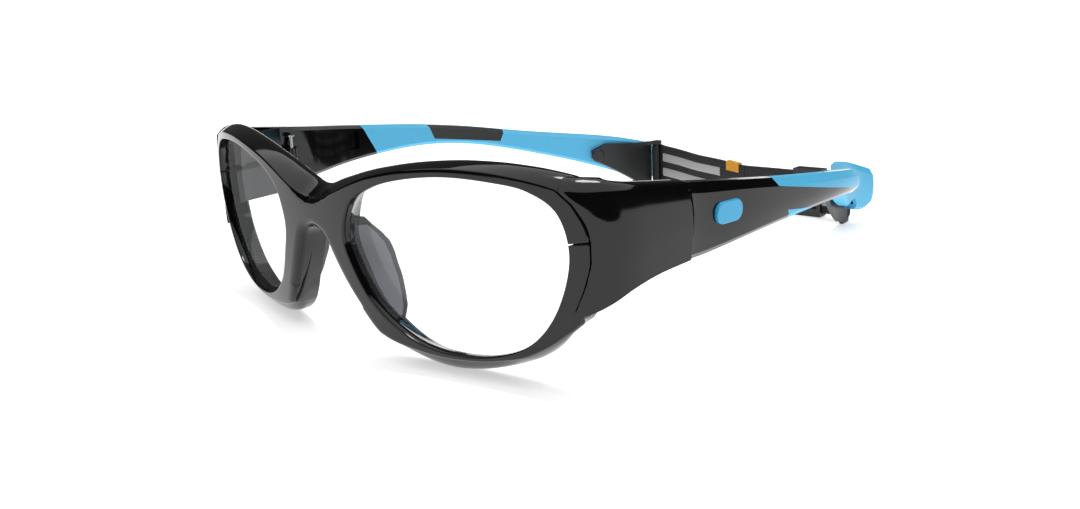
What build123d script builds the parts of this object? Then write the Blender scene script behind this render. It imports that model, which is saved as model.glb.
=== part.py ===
"""Sports protective goggles: a wrapped nylon front with two clear lenses, side arms that carry
the hinges, folding temples with soft grips, and an elastic strap that joins the temple tips.

Millimetres. X is left and right (the wearer's left is +X), Y runs from the bridge back to the
strap, Z is up. The goggles rest on Z = 0, and the origin is under the middle of their length.
A depth is how far a point lies behind the front of the bridge.
"""
import os
from math import atan2, cos, degrees, hypot, radians, sin, sqrt

from build123d import *

os.makedirs("parts", exist_ok=True)

# ---- driving dimensions ------------------------------------------------------------------
LENGTH = 155.4            # bridge to the back of the tips
WRAP_R = 141.0            # plan radius of the front
RISE_R = 115.0            # vertical radius of the front
TILT = 2.2                # the front leans forward at the top, degrees
MID_Z = 23.0              # height at which the front stands furthest forward
RIM_DEPTH = 6.5
BROW_BEVEL = (1.6, 3.6)   # across the face, then back along the depth
REAR_BEVEL = (1.2, 2.6)   # the brow's top falls away again behind its ridge
LOWER_BEVEL = (2.2, 5.0)
LENS_INSET = 1.5          # lens face behind the rim's face
LENS_T = 2.2
LENS_LAP = 1.0            # how far the lens reaches into its groove
GROOVE_PLAY = 0.05
SLIT_Z = 29.2             # the rim is split here, where the lens goes in
SLIT_H = 0.35
SEAM = 0.1                # parting gap between moulded parts

HINGE_DEPTH = 35.3
HINGE_BULGE = 1.4         # the side arm's end bows back this far into the temple
HINGE_X = 61.8
BARREL_R = 1.4
KNUCKLES = (24.6, 27.6, 31.0, 34.0)   # heights where one knuckle ends and the next begins
KNUCKLE_PLAY = 0.06
PIN_R = 0.6
PIN_PLAY = 0.03
PIN_HEAD_R = 1.1
PIN_HEAD_H = 0.5

CORE_SKIN = 2.2           # thickness of nylon that shows through the grip's openings

TAB_T = 1.3
TAB_PLAY = 0.05
STRAP_W = 12.0
STRAP_T = 1.4
STRAP_X = 33.4            # the bar at each temple tip that one half of the strap turns about
STRAP_DEPTH = 152.4
STRAP_BACK = 0.6          # the webbing lies this far behind the bar's middle
STRAP_END_Z = {"left": 7.4, "right": 10.0}   # middle of the strap at each temple tip
STRAP_MID_Z = 6.43        # and at the back of the head, where the slider rests on the table
STRAP_GAP = 1.3           # each half stops this far from the middle
BAR_R = 0.7
SLEEVE_R = 1.4
LUG_T = 0.9


def y_at(depth):
    """The Y of a point at this depth."""
    return depth - LENGTH / 2


def in_plan(points):
    return [(x, y_at(depth)) for x, depth in points]


def from_the_side(points):
    return [(y_at(depth), z) for depth, z in points]


def side_prism(points, start=20):
    """A prism along X through the left half, from points of (depth, height)."""
    with BuildPart() as prism:
        with BuildSketch(Plane.YZ.offset(start)):
            with BuildLine():
                Polyline(*from_the_side(points), close=True)
            make_face()
        extrude(amount=60)
    return prism.part


def save(piece, label):
    piece.label = label
    export_step(piece, f"parts/{label}.step")


def save_pair(piece, label):
    """The piece as made is the wearer's left one, and its mirror image is the right one."""
    save(piece, f"{label}_left")
    save(mirror(piece, about=Plane.YZ), f"{label}_right")


# ---- the curved band that the front is cut from ------------------------------------------
def wrap_band(start, stop):
    """A slab that follows the wrap of the front, from start to stop mm behind its surface."""
    c, s = cos(radians(TILT)), sin(radians(TILT))
    hub = (0, y_at(WRAP_R), MID_Z)
    half = 32.0
    sag = RISE_R - sqrt(RISE_R**2 - half**2)
    near, far = WRAP_R - start, WRAP_R - stop
    with BuildPart() as band:
        with BuildSketch(Plane(origin=hub, x_dir=(0, -c, -s), z_dir=(-1, 0, 0))):
            with BuildLine():
                ThreePointArc((near - sag, -half), (near, 0), (near - sag, half))
                Line((near - sag, half), (far - sag, half))
                ThreePointArc((far - sag, half), (far, 0), (far - sag, -half))
                Line((far - sag, -half), (near - sag, -half))
            make_face()
        revolve(axis=Axis(hub, (0, -s, c)))
    return band.part


# ---- outlines of the front, seen from ahead ----------------------------------------------
BROW = [(0, 34.4), (8.1, 36.4), (19.5, 39.5), (33, 41.5), (47, 41.6), (57, 40.4)]
SEAM_LINE = [(57, 38.3), (60.5, 34.4), (62.2, 28), (61.2, 20.8), (59.2, 16.4)]
HORN_BACK = 15.8          # the horn is thin: it stops at this depth
HORN = [(59.9, 15.5), (60.1, 14.6), (58.9, 13.5)]
LOWER = [(58.9, 13.5), (54.5, 10.3), (49, 6.2), (40, 2.1), (28, 0.16), (20, 1.4), (14.8, 5.6)]
NASAL = [(14.8, 5.6), (10.7, 12), (7.7, 17.2), (5.4, 22)]
ARCH_TOP = (0, 26)
OPENING = [
    (10.6, 26), (13.1, 32.5), (18.8, 36.1), (27, 38.3), (36, 39.3), (45, 38.9), (52, 37.6),
    (57.2, 33.8), (58.9, 26), (56.1, 16.4), (50.4, 9.2), (42, 5.7), (33, 5), (24.4, 6.8),
    (16.8, 12.1), (12.1, 20.1),
]
PRISM = 60.0              # long enough to pass right through the front
front_plane = Plane.XZ.offset(-y_at(PRISM - 15))

with BuildSketch(front_plane) as outline:
    with BuildLine():
        Spline(BROW, tangents=[(1, 0), (1, -0.12)])
        Line(BROW[-1], SEAM_LINE[0])
        Spline(SEAM_LINE)
        Polyline(SEAM_LINE[-1], *HORN)
        Spline(LOWER)
        Spline(NASAL)
        TangentArc(NASAL[-1], ARCH_TOP, tangent=(-0.35, 0.94))
        Line(ARCH_TOP, BROW[0])
    make_face()
    mirror(about=Plane.YZ)

with BuildPart() as outline_prism:
    extrude(outline.sketch, amount=PRISM)


OUTWARD_TURN = 90        # degrees from the way the opening is drawn to its outside


def opening_prism(grow):
    """The left eye's lens opening, grown all round and run right through the front."""
    with BuildLine() as loop:
        Spline(OPENING, periodic=True)
    rim = []
    for step in range(40):
        outward = (loop.line % (step / 40)).rotate(Axis.Z, OUTWARD_TURN)
        rim.append(loop.line @ (step / 40) + outward * grow)
    with BuildPart() as prism:
        with BuildSketch(front_plane):
            with BuildLine():
                Spline(rim, periodic=True)
            make_face()
        extrude(amount=PRISM)
    return prism.part


# ---- lenses ------------------------------------------------------------------------------
lens = opening_prism(LENS_LAP) & wrap_band(LENS_INSET + GROOVE_PLAY, LENS_INSET + LENS_T)
groove_back = LENS_INSET + LENS_T + GROOVE_PLAY
groove = opening_prism(LENS_LAP + GROOVE_PLAY) & wrap_band(LENS_INSET, groove_back)
save_pair(lens, "lens")

# ---- the two ears on each side of the front, which the side arm is screwed to ------------
EAR_PLAN = [(57.6, 16.5), (59.4, 31.0), (62.4, 31.0), (61.6, 15.0)]
EARS_Z = [(20.5, 28.4), (30.0, 37.0)]
SCREWS = [(27.0, 24.4), (27.0, 33.4)]      # depth and height of the screw in each ear
SCREW_X = 59.2                             # where the head's face lies
SCREW_R = 0.8
SCREW_LENGTH = 5.2
HEAD_R = 1.4
HEAD_H = 0.8

with BuildPart() as ears:
    for low, high in EARS_Z:
        with BuildSketch(Plane.XY.offset(low)):
            with BuildLine():
                Polyline(*[(x, y_at(depth)) for x, depth in EAR_PLAN], close=True)
            make_face()
        extrude(amount=high - low)


def screw_set(head_r, shank_r, lead):
    """Both ear screws of the left side, or with a lead the holes that take them."""
    with BuildPart() as made:
        for depth, z in SCREWS:
            seat = Plane(origin=(SCREW_X, y_at(depth), z), x_dir=(0, 1, 0), z_dir=(1, 0, 0))
            with BuildSketch(seat.offset(-lead)):
                Circle(head_r)
            extrude(amount=lead + HEAD_H)
            with BuildSketch(seat.offset(HEAD_H)):
                Circle(shank_r)
            extrude(amount=SCREW_LENGTH - HEAD_H + lead * 0.1)
            if not lead:
                with BuildSketch(seat):
                    Rectangle(head_r * 1.4, 0.4)
                    Rectangle(0.4, head_r * 1.4)
                extrude(amount=0.4, mode=Mode.SUBTRACT)
    return made.part


ear_screws = screw_set(HEAD_R, SCREW_R, 0)
ear_holes = screw_set(HEAD_R + 0.1, SCREW_R, 2.0)
save_pair(ear_screws, "ear_screws")

# ---- front frame: rims and bridge in one moulding ----------------------------------------
window = opening_prism(0)
# ---- nose pads: soft flaps on hard carriers, behind the nasal side of each rim ------------
CARRIER = [(2.7, 27.4), (3.65, 27.6), (3.65, 5.8), (2.7, 6.0)]
PAD = [(3.7, 29.4), (5.4, 29.0), (7.8, 25), (9.7, 20), (11.5, 14), (11.6, 9.8), (10.8, 7.0),
       (9.2, 5.6), (3.7, 5.6)]
PAD_T = 2.1
PAD_FACE = [(15.6, 3.9), (14.6, 5.4), (10.5, 11.9), (7.5, 17.1), (5.4, 22), (5.2, 30)]


def nose_band(thickness):
    """A wall along the nose side of the rim, running straight back."""
    with BuildPart() as band:
        with BuildSketch(front_plane):
            with BuildLine():
                face = Spline(PAD_FACE)
                back = Spline([(x + thickness, z + thickness * 0.25) for x, z in PAD_FACE])
                Line(face @ 0, back @ 0)
                Line(face @ 1, back @ 1)
            make_face()
        extrude(amount=PRISM)
    return band.part


nose_wall = nose_band(PAD_T)
carrier = nose_wall & side_prism(CARRIER, start=0)
pad = nose_wall & side_prism(PAD, start=0)
save_pair(carrier, "nose_pad_carrier")
save_pair(pad, "nose_pad")

with BuildPart() as frame_front:
    add(outline_prism.part)
    add(wrap_band(0, RIM_DEPTH), mode=Mode.INTERSECT)
    face = frame_front.faces().sort_by(lambda f: f.center().Y)[0]
    brim = face.outer_wire().edges().filter_by(lambda e: e.length > 30).sort_by(Axis.Z)
    chamfer(brim[-1], *BROW_BEVEL, reference=face)
    face = frame_front.faces().sort_by(lambda f: f.center().Y)[0]
    brim = face.outer_wire().edges().filter_by(lambda e: e.length > 30).sort_by(Axis.Z)
    chamfer(brim[:2], *LOWER_BEVEL, reference=face)
    face = frame_front.faces().sort_by(SortBy.AREA)[-2:].sort_by(Axis.Y)[-1]
    brim = face.outer_wire().edges().filter_by(lambda e: e.length > 30).sort_by(Axis.Z)
    chamfer(brim[-1], *REAR_BEVEL, reference=face)
    add([ears.part, mirror(ears.part, about=Plane.YZ)])
    for tool in (window, groove, ear_holes, carrier, pad):
        add([tool, mirror(tool, about=Plane.YZ)], mode=Mode.SUBTRACT)
    with Locations((59.5, y_at(HORN_BACK), 11), (-59.5, y_at(HORN_BACK), 11)):
        Box(6, 20, 10.6, align=(Align.CENTER, Align.MIN, Align.CENTER), mode=Mode.SUBTRACT)
    with Locations((61.5, y_at(18), SLIT_Z), (-61.5, y_at(18), SLIT_Z)):
        Box(7.5, 30, SLIT_H, mode=Mode.SUBTRACT)
save(frame_front.part, "frame_front")

# ---- hinge: two knuckles on the side arm, one between them on the temple -----------------
def knuckle(low, high, towards, hole_r):
    """A barrel about the hinge line with a root that joins it to the part beside it."""
    with BuildPart() as made:
        with BuildSketch(Plane.XY.offset(low)):
            with Locations((HINGE_X, y_at(HINGE_DEPTH))):
                Circle(BARREL_R)
            root_x = HINGE_X + BARREL_R * 0.75
            with Locations((root_x, y_at(HINGE_DEPTH + towards * (BARREL_R + 0.6) / 2))):
                Rectangle(BARREL_R * 1.5, BARREL_R + 0.6)
            with Locations((HINGE_X, y_at(HINGE_DEPTH))):
                Circle(hole_r, mode=Mode.SUBTRACT)
        extrude(amount=high - low)
    return made.part


Z0, Z1, Z2, Z3 = KNUCKLES
lower_knuckle = knuckle(Z0, Z1 - KNUCKLE_PLAY, -1, PIN_R + 0.01)
upper_knuckle = knuckle(Z2 + KNUCKLE_PLAY, Z3, -1, PIN_R + 0.01)
middle_knuckle = knuckle(Z1 + KNUCKLE_PLAY, Z2 - KNUCKLE_PLAY, 1, PIN_R + PIN_PLAY)

with BuildPart() as hinge_pin:
    with BuildSketch(Plane.XY.offset(Z0)):
        with Locations((HINGE_X, y_at(HINGE_DEPTH))):
            Circle(PIN_R)
    extrude(amount=Z3 - Z0)
    with BuildSketch(Plane.XY.offset(Z3)):
        with Locations((HINGE_X, y_at(HINGE_DEPTH))):
            Circle(PIN_HEAD_R)
            Rectangle(PIN_HEAD_R * 2, 0.35, mode=Mode.SUBTRACT)
    extrude(amount=PIN_HEAD_H)
    with BuildSketch(Plane.XY.offset(Z3)):
        with Locations((HINGE_X, y_at(HINGE_DEPTH))):
            Circle(PIN_HEAD_R)
    extrude(amount=PIN_HEAD_H * 0.4)
save_pair(hinge_pin.part, "hinge_pin")


# ---- side arm: wraps from the seam at the rim round the corner to the hinge --------------
ARM_OUTER = [(52, 10.2), (57, 12.2), (62.3, 14.7), (65, 17.4), (66.5, 21.6), (67.3, 28), (67.9, 38)]
ARM_INNER = [(63.4, 38), (62.6, 27), (61.6, 20.5), (59.6, 17.4), (52, 14.6)]
ARM_TOP = [(8, 41.6), (14, 40.9), (20.5, 38.9), (28, 37.7), (38, 36.2)]
ARM_BOTTOM = [(38, 22.3), (28, 21.6), (21.6, 20.3), (17.4, 18.7), (13.6, 15.6), (8, 10.0)]


def hinge_side(gap, back):
    """Everything beyond the bowed line where the side arm meets the temple."""
    far = HINGE_DEPTH + (150 if back else -60)
    with BuildPart() as prism:
        with BuildSketch(Plane.YZ.offset(20)):
            with BuildLine():
                middle = (y_at(HINGE_DEPTH + HINGE_BULGE + gap), 30)
                low = (y_at(HINGE_DEPTH + gap), 20)
                high = (y_at(HINGE_DEPTH + gap), 40)
                ThreePointArc(low, middle, high)
                Polyline(high, (y_at(far), 40), (y_at(far), 0), (low[0], 0), low)
            make_face()
        extrude(amount=60)
    return prism.part


with BuildPart() as arm_blank:
    with BuildSketch(Plane.XY):
        with BuildLine():
            Spline(in_plan(ARM_OUTER))
            Line(in_plan(ARM_OUTER)[-1], in_plan(ARM_INNER)[0])
            Spline(in_plan(ARM_INNER))
            Line(in_plan(ARM_INNER)[-1], in_plan(ARM_OUTER)[0])
        make_face()
    extrude(amount=50)
    with BuildSketch(Plane.YZ.offset(20)) as profile:
        with BuildLine():
            Spline(from_the_side(ARM_TOP))
            Line(from_the_side(ARM_TOP)[-1], from_the_side(ARM_BOTTOM)[0])
            Spline(from_the_side(ARM_BOTTOM))
            Line(from_the_side(ARM_BOTTOM)[-1], from_the_side(ARM_TOP)[0])
        make_face()
    extrude(amount=60, mode=Mode.INTERSECT)

with BuildPart() as side_arm:
    add(arm_blank.part)
    add(hinge_side(0, False), mode=Mode.INTERSECT)
    for tool in (outline_prism.part, ears.part, ear_screws):
        add(tool, mode=Mode.SUBTRACT)
    with Locations((HINGE_X, y_at(HINGE_DEPTH), (Z1 + Z2) / 2)):
        pocket = BARREL_R + 0.15
        Box(3.2 * pocket, 2 * pocket, Z2 - Z1, mode=Mode.SUBTRACT)
        Box(3.2 * pocket, 6, Z2 - Z1, align=(Align.CENTER, Align.MIN, Align.CENTER),
            mode=Mode.SUBTRACT)
    add([lower_knuckle, upper_knuckle])
save_pair(side_arm.part, "side_arm")


# ---- temple: one outer form, shared out between the nylon core and the soft grip ---------
# outer X, depth, heading in degrees from +X, top, bottom, thickness
TEMPLE = [
    (67.8, 34.0, 86, 36.6, 22.2, 4.5),
    (69.0, 50, 87, 34.4, 22.8, 4.5),
    (70.0, 68, 90, 32.0, 24.0, 4.4),
    (69.0, 86, 97, 29.6, 23.8, 4.3),
    (64.6, 102, 113, 26.9, 21.7, 4.4),
    (56.6, 116, 123, 24.2, 18.0, 4.6),
    (47.5, 129.5, 124, 22.0, 13.4, 4.7),
    (41.3, 141.5, 109, 19.6, 8.0, 4.7),
    (40.2, 149.5, 90, 17.2, 4.6, 4.6),
    (40.8, LENGTH - 0.35, 84, 15.2, 5.4, 4.2),
]


def station_plane(x, depth, heading):
    """A vertical plane across the arm there: its X points outwards and its Y points up."""
    out_x, out_y = sin(radians(heading)), -cos(radians(heading))
    return Plane(origin=(x, y_at(depth), 0), x_dir=(out_x, out_y, 0), z_dir=(out_y, -out_x, 0))


def temple_loft(shape, stations=TEMPLE, crowned=False):
    """Loft a section, whose corners shape(top, bottom, thickness) gives, through the stations."""
    faces = []
    for x, depth, heading, top, bottom, thickness in stations:
        corners = shape(top, bottom, thickness)
        with BuildSketch(station_plane(x, depth, heading)) as section:
            with BuildLine():
                Polyline(*corners)
                if crowned:
                    ThreePointArc(corners[-1], (0, (top + bottom) / 2), corners[0])
                else:
                    Line(corners[-1], corners[0])
            make_face()
        faces.append(section.sketch)
    return loft(faces)


def outer_form(top, bottom, thickness):
    """A bevelled top edge and a flat inner side; the outer side is crowned."""
    edge = min(0.9, (top - bottom) / 6)
    bevel = min(1.7, (top - bottom) / 4)
    return [(-0.5, bottom + edge), (-1.3, bottom), (edge - thickness, bottom),
            (-thickness, bottom + edge), (-thickness, top - edge), (edge - thickness, top),
            (-1.5, top), (-0.3, top - bevel)]


def outer_skin(top, bottom, thickness):
    """The outermost nylon, out to beyond the surface."""
    return [(-CORE_SKIN, bottom - 1), (2, bottom - 1), (2, top + 1), (-CORE_SKIN, top + 1)]


def spine(top, bottom, thickness):
    """The core's spine, which runs hidden inside the grip."""
    return [(-1.3, bottom + 1.3), (-1.3, top - 1.5), (1.3 - thickness, top - 1.3),
            (1.3 - thickness, bottom + 1.3)]


def tab_layer(top, bottom, thickness):
    """A layer just inside the temple, where the strap's end tab lies."""
    near = -thickness - TAB_PLAY
    return [(near, bottom - 4), (near, top + 2), (near - TAB_T, top + 2), (near - TAB_T, bottom - 4)]


temple_form = temple_loft(outer_form, crowned=True) & hinge_side(SEAM, True)
outer_half = temple_loft(outer_skin)
rear = side_prism([(58.4, 37), (66.8, 22), (66.8, 0), (175, 0), (175, 37)])
WEDGE = [(60.0, 31.6), (129.5, 17.6), (129.5, 15.6), (60.0, 26.7)]
WINDOW = [(82.5, 34), (110.5, 34), (106.0, 22.2), (86.0, 25.4)]
spine_solid = temple_loft(spine, TEMPLE[1:-1])
core = temple_form - rear
core += temple_form & outer_half & side_prism(WEDGE)
core += (temple_form - outer_half) & side_prism(WINDOW)
core += spine_solid & rear
grip = (temple_form & rear) - core


# ---- trim on the temple: a plain pill outside, a slanting bar inside, a blind recess ------
def face_plane(x, depth, z, heading):
    """A plane facing outwards on the temple's side: its X points rearwards, its Y points up."""
    out_x, out_y = sin(radians(heading)), -cos(radians(heading))
    return Plane(origin=(x, y_at(depth), z), x_dir=(-out_y, out_x, 0), z_dir=(out_x, out_y, 0))


OUTSIDE = face_plane(68.75, 46.1, 29.3, 86)
INSIDE = face_plane(63.95, 42.0, 29.6, 86)

with BuildPart() as badge:
    with BuildSketch(OUTSIDE.offset(-0.7)):
        RectangleRounded(7.3, 4.2, 1.9)
    extrude(amount=1.0)
    fillet(badge.faces().sort_by(Axis.X)[-1].edges(), 0.25)
save_pair(badge.part, "temple_badge")

with BuildPart() as inner_bar:
    with BuildSketch(INSIDE.offset(0.5)):
        with Locations((-1.9, 0.3)):
            Rectangle(2.0, 8.2, rotation=18)
    extrude(amount=-0.8)
save_pair(inner_bar.part, "temple_inner_bar")

with BuildPart() as recess:
    with BuildSketch(INSIDE.offset(1.3)):
        with Locations((15.7, -0.4)):
            Rectangle(3.7, 4.8)
    extrude(amount=-4)

# ---- strap anchor: a tab along the inside of the tip, held by a stud ----------------------
with BuildPart() as hook_notch:
    with BuildSketch(Plane.YZ.offset(20)):
        with Locations((y_at(145.2), 6.3)):
            Circle(2.4)
        with Locations((y_at(145.2), 3.3)):
            Rectangle(3.0, 6)
    extrude(amount=40)

STUD = face_plane(43.0, 132.6, 15.4, 122)
with BuildPart() as stud:
    with BuildSketch(STUD.offset(-4.6)):
        Circle(2.0)
    extrude(amount=0.9)
    fillet(stud.faces().sort_by(Axis.X)[0].edges(), 0.4)
    with BuildSketch(STUD.offset(-3.8)):
        Circle(0.9)
    extrude(amount=4.6)

tab_sheet = temple_loft(tab_layer, TEMPLE[-5:])
TAB_END = 150.4


def make_tab(end_z):
    """A tab with a bar at its end, held between two lugs, for a strap at this height."""
    lug_top = end_z + STRAP_W / 2 + 0.3
    lug_bottom = end_z - STRAP_W / 2 - 0.3 - LUG_T
    profile = [(129.6, 16.8), (133.4, 18.6), (TAB_END, lug_top + LUG_T), (TAB_END, lug_bottom),
               (147.6, lug_bottom), (130.6, 13.4)]
    with BuildPart() as tab:
        add(tab_sheet)
        add(side_prism(profile), mode=Mode.INTERSECT)
        for low in (lug_bottom, lug_top):
            with BuildSketch(Plane.XY.offset(low)):
                with Locations((STRAP_X, y_at(STRAP_DEPTH))):
                    Circle(SLEEVE_R)
                with BuildLine():
                    Polyline((32.1, y_at(151.9)), (34.3, y_at(148.5)), (35.4, y_at(148.5)),
                             (34.8, y_at(152.6)), close=True)
                make_face()
            extrude(amount=LUG_T)
        with BuildSketch(Plane.XY.offset(lug_bottom)):
            with Locations((STRAP_X, y_at(STRAP_DEPTH))):
                Circle(BAR_R)
        extrude(amount=lug_top - lug_bottom)
        add(stud.part, mode=Mode.SUBTRACT)
    return tab.part


save(make_tab(STRAP_END_Z["left"]), "strap_tab_left")
save(mirror(make_tab(STRAP_END_Z["right"]), about=Plane.YZ), "strap_tab_right")

core = core - badge.part - inner_bar.part - recess.part - hook_notch.part - stud.part
core += middle_knuckle
grip = grip - hook_notch.part - stud.part
save_pair(stud.part, "strap_stud")
save_pair(core, "temple_core")
save_pair(grip, "temple_grip")


# ---- strap: a half hangs from each tip, each with two grip stripes ------------------------
HALF_W = STRAP_W / 2
STRAP_FRONT = STRAP_DEPTH + STRAP_BACK - STRAP_T / 2
STRAP_REAR = STRAP_FRONT + STRAP_T
STRIPE_T = 0.22


def along_strap(side, start, stop, low, high, front, back):
    """A bar that follows one half; its heights are counted from the strap's middle line."""
    slope = (STRAP_END_Z[side] - STRAP_MID_Z) / (STRAP_X - STRAP_GAP)
    start_z = STRAP_MID_Z + (start - STRAP_GAP) * slope
    stop_z = STRAP_MID_Z + (stop - STRAP_GAP) * slope
    with BuildPart() as bar:
        with BuildSketch(Plane.XZ.offset(-y_at(back))):
            with BuildLine():
                Polyline((start, start_z + low), (stop, stop_z + low),
                         (stop, stop_z + high), (start, start_z + high), close=True)
            make_face()
        extrude(amount=back - front)
    return bar.part


def make_strap(side):
    """Half of the strap, with a sleeve that turns on the bar of its tab."""
    with BuildPart() as strap:
        add(along_strap(side, STRAP_GAP, STRAP_X, -HALF_W, HALF_W, STRAP_FRONT, STRAP_REAR))
        with BuildSketch(Plane.XY.offset(STRAP_END_Z[side] - HALF_W)):
            with Locations((STRAP_X, y_at(STRAP_DEPTH))):
                Circle(SLEEVE_R)
        extrude(amount=STRAP_W)
        with BuildSketch(Plane.XY.offset(STRAP_END_Z[side] - HALF_W - 1)):
            with Locations((STRAP_X, y_at(STRAP_DEPTH))):
                Circle(BAR_R + PIN_PLAY)
        extrude(amount=STRAP_W + 2, mode=Mode.SUBTRACT)
    return strap.part


def make_stripes(side):
    """Two silicone stripes on the side that lies against the head."""
    return Compound(children=[
        along_strap(side, 9, 31.4, low, low + 2.7, STRAP_FRONT - STRIPE_T, STRAP_FRONT)
        for low in (-3.7, 1.0)
    ])


tag = along_strap("right", 2, 6.5, 3.6, HALF_W + 0.4, STRAP_FRONT - 0.25, STRAP_REAR + 0.25)
tag -= along_strap("right", 1, 8, -HALF_W, HALF_W, STRAP_FRONT, STRAP_REAR)
save(make_strap("left"), "strap_left")
save(mirror(make_strap("right"), about=Plane.YZ), "strap_right")
save(make_stripes("left"), "grip_stripes_left")
save(mirror(make_stripes("right"), about=Plane.YZ), "grip_stripes_right")
save(mirror(tag, about=Plane.YZ), "strap_label")

# ---- slider: a frame round the near half of the strap --------------------------------------
SLIDER_X = 22.0
SLIDER_L = 9.0
SLIDER_WALL = 0.8
SLIDER_PLAY = 0.12
channel_front = STRAP_FRONT - STRIPE_T - SLIDER_PLAY
channel_rear = STRAP_REAR + SLIDER_PLAY
channel_high = HALF_W + SLIDER_PLAY
outer_high = channel_high + SLIDER_WALL
slider = along_strap("left", SLIDER_X - SLIDER_L / 2, SLIDER_X + SLIDER_L / 2, -outer_high,
                     outer_high, channel_front - SLIDER_WALL, channel_rear + SLIDER_WALL)
slider -= along_strap("left", 0, 40, -channel_high, channel_high, channel_front, channel_rear)
for middle in (SLIDER_X - 2.05, SLIDER_X + 2.05):
    slider -= along_strap("left", middle - 1.25, middle + 1.25, -4.6, 4.6, channel_front - 2,
                          channel_front)
save(slider, "strap_slider")
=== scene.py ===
import math
from itertools import accumulate

import bmesh
import bpy
from mathutils import Matrix, Vector


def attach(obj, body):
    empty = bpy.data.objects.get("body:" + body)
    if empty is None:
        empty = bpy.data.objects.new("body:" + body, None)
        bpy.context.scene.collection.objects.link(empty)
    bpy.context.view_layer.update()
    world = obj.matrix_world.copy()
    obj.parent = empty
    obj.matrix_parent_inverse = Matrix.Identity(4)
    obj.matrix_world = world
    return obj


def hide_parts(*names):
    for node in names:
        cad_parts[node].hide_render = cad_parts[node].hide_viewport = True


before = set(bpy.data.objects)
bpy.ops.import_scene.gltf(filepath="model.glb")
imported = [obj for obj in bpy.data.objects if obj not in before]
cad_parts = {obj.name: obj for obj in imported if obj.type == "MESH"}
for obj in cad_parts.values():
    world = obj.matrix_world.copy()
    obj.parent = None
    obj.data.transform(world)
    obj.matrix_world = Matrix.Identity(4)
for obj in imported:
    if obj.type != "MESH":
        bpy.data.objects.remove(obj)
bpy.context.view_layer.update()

# Lengths are in mm, and a point is (x, depth, z), where depth counts back from the bridge.
MM = 0.001
LENGTH = 155.4
SIDES = (("left", 1), ("right", -1))

WRAP_R = 141.2            # the front wraps round the face on this radius
UPRIGHT_R = 115           # and curves up and down on this one
LEAN = 0.0391             # its top leans forward by this share of the height
MID_Z = 23                # height at which the front stands square


def y_at(depth):
    """The Y of a point this far behind the front of the bridge."""
    return depth - LENGTH / 2


def wrap(x, z):
    """Depth of the front's surface, which wraps sideways, curves up and down and leans forward."""
    rise = z - MID_Z
    return WRAP_R - math.sqrt(WRAP_R**2 - x * x) - LEAN * rise + rise**2 / (2 * UPRIGHT_R)


# ---- curves ------------------------------------------------------------------------------
def catmull(points, per_span, closed=False):
    """A smooth line through points of any dimension, as a list of tuples."""
    count = len(points)
    spans = count if closed else count - 1
    out = []
    for i in range(spans):
        quad = []
        for k in (i - 1, i, i + 1, i + 2):
            quad.append(points[k % count] if closed else points[min(max(k, 0), count - 1)])
        for step in range(per_span):
            t = step / per_span
            out.append(tuple(
                0.5 * (2 * b + (c - a) * t + (2 * a - 5 * b + 4 * c - d) * t * t
                       + (3 * b - a - 3 * c + d) * t**3)
                for a, b, c, d in zip(*quad)
            ))
    if not closed:
        out.append(tuple(points[-1]))
    return out


def resample(line, spacing=None, count=None):
    """The same line with evenly spaced points, spaced by its first two coordinates."""
    steps = [math.hypot(b[0] - a[0], b[1] - a[1]) for a, b in zip(line, line[1:])]
    reach = [0.0] + list(accumulate(steps))
    count = count or max(2, round(reach[-1] / spacing) + 1)
    out, k = [], 0
    for i in range(count):
        want = reach[-1] * i / (count - 1)
        while k < len(steps) - 1 and reach[k + 1] < want:
            k += 1
        t = (want - reach[k]) / max(steps[k], 1e-9)
        out.append(tuple(a + (b - a) * t for a, b in zip(line[k], line[k + 1])))
    return out


def table(rows, at):
    """Values between the rows of a table, looked up by each row's first number."""
    if at <= rows[0][0]:
        return rows[0][1:]
    for low, high in zip(rows, rows[1:]):
        if at <= high[0]:
            t = (at - low[0]) / (high[0] - low[0])
            return tuple(a + (b - a) * t for a, b in zip(low[1:], high[1:]))
    return rows[-1][1:]


def outward(line, i, closed=False):
    """Unit vector square to a clockwise line, pointing to its outside."""
    a, b = line[max(i - 1, 0)], line[min(i + 1, len(line) - 1)]
    if closed:
        a, b = line[i - 1], line[(i + 1) % len(line)]
    dx, dz = b[0] - a[0], b[1] - a[1]
    span = math.hypot(dx, dz)
    return -dz / span, dx / span


def nearest(line, x, z):
    """Index of the point of a line that is nearest."""
    return min(range(len(line)), key=lambda k: (line[k][0] - x) ** 2 + (line[k][1] - z) ** 2)


# ---- meshes ------------------------------------------------------------------------------
def skin(rings):
    """Join closed rings of equal length into a tube, with flat caps."""
    points = [p for ring in rings for p in ring]
    wide = len(rings[0])
    faces = []
    for r in range(len(rings) - 1):
        for k in range(wide):
            a, b = r * wide + k, r * wide + (k + 1) % wide
            faces.append((a, b, b + wide, a + wide))
    faces.append(tuple(reversed(range(wide))))
    faces.append(tuple(range(len(points) - wide, len(points))))
    return points, faces


def prism(outline, low, high):
    """An upright prism from an outline of (x, depth)."""
    return skin([[(x, d, z) for x, d in outline] for z in (low, high)])


def flipped(points, faces, side):
    """The same mesh for the other side when side is -1."""
    if side > 0:
        return points, faces
    return [(-x, d, z) for x, d, z in points], [tuple(reversed(f)) for f in faces]


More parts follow.
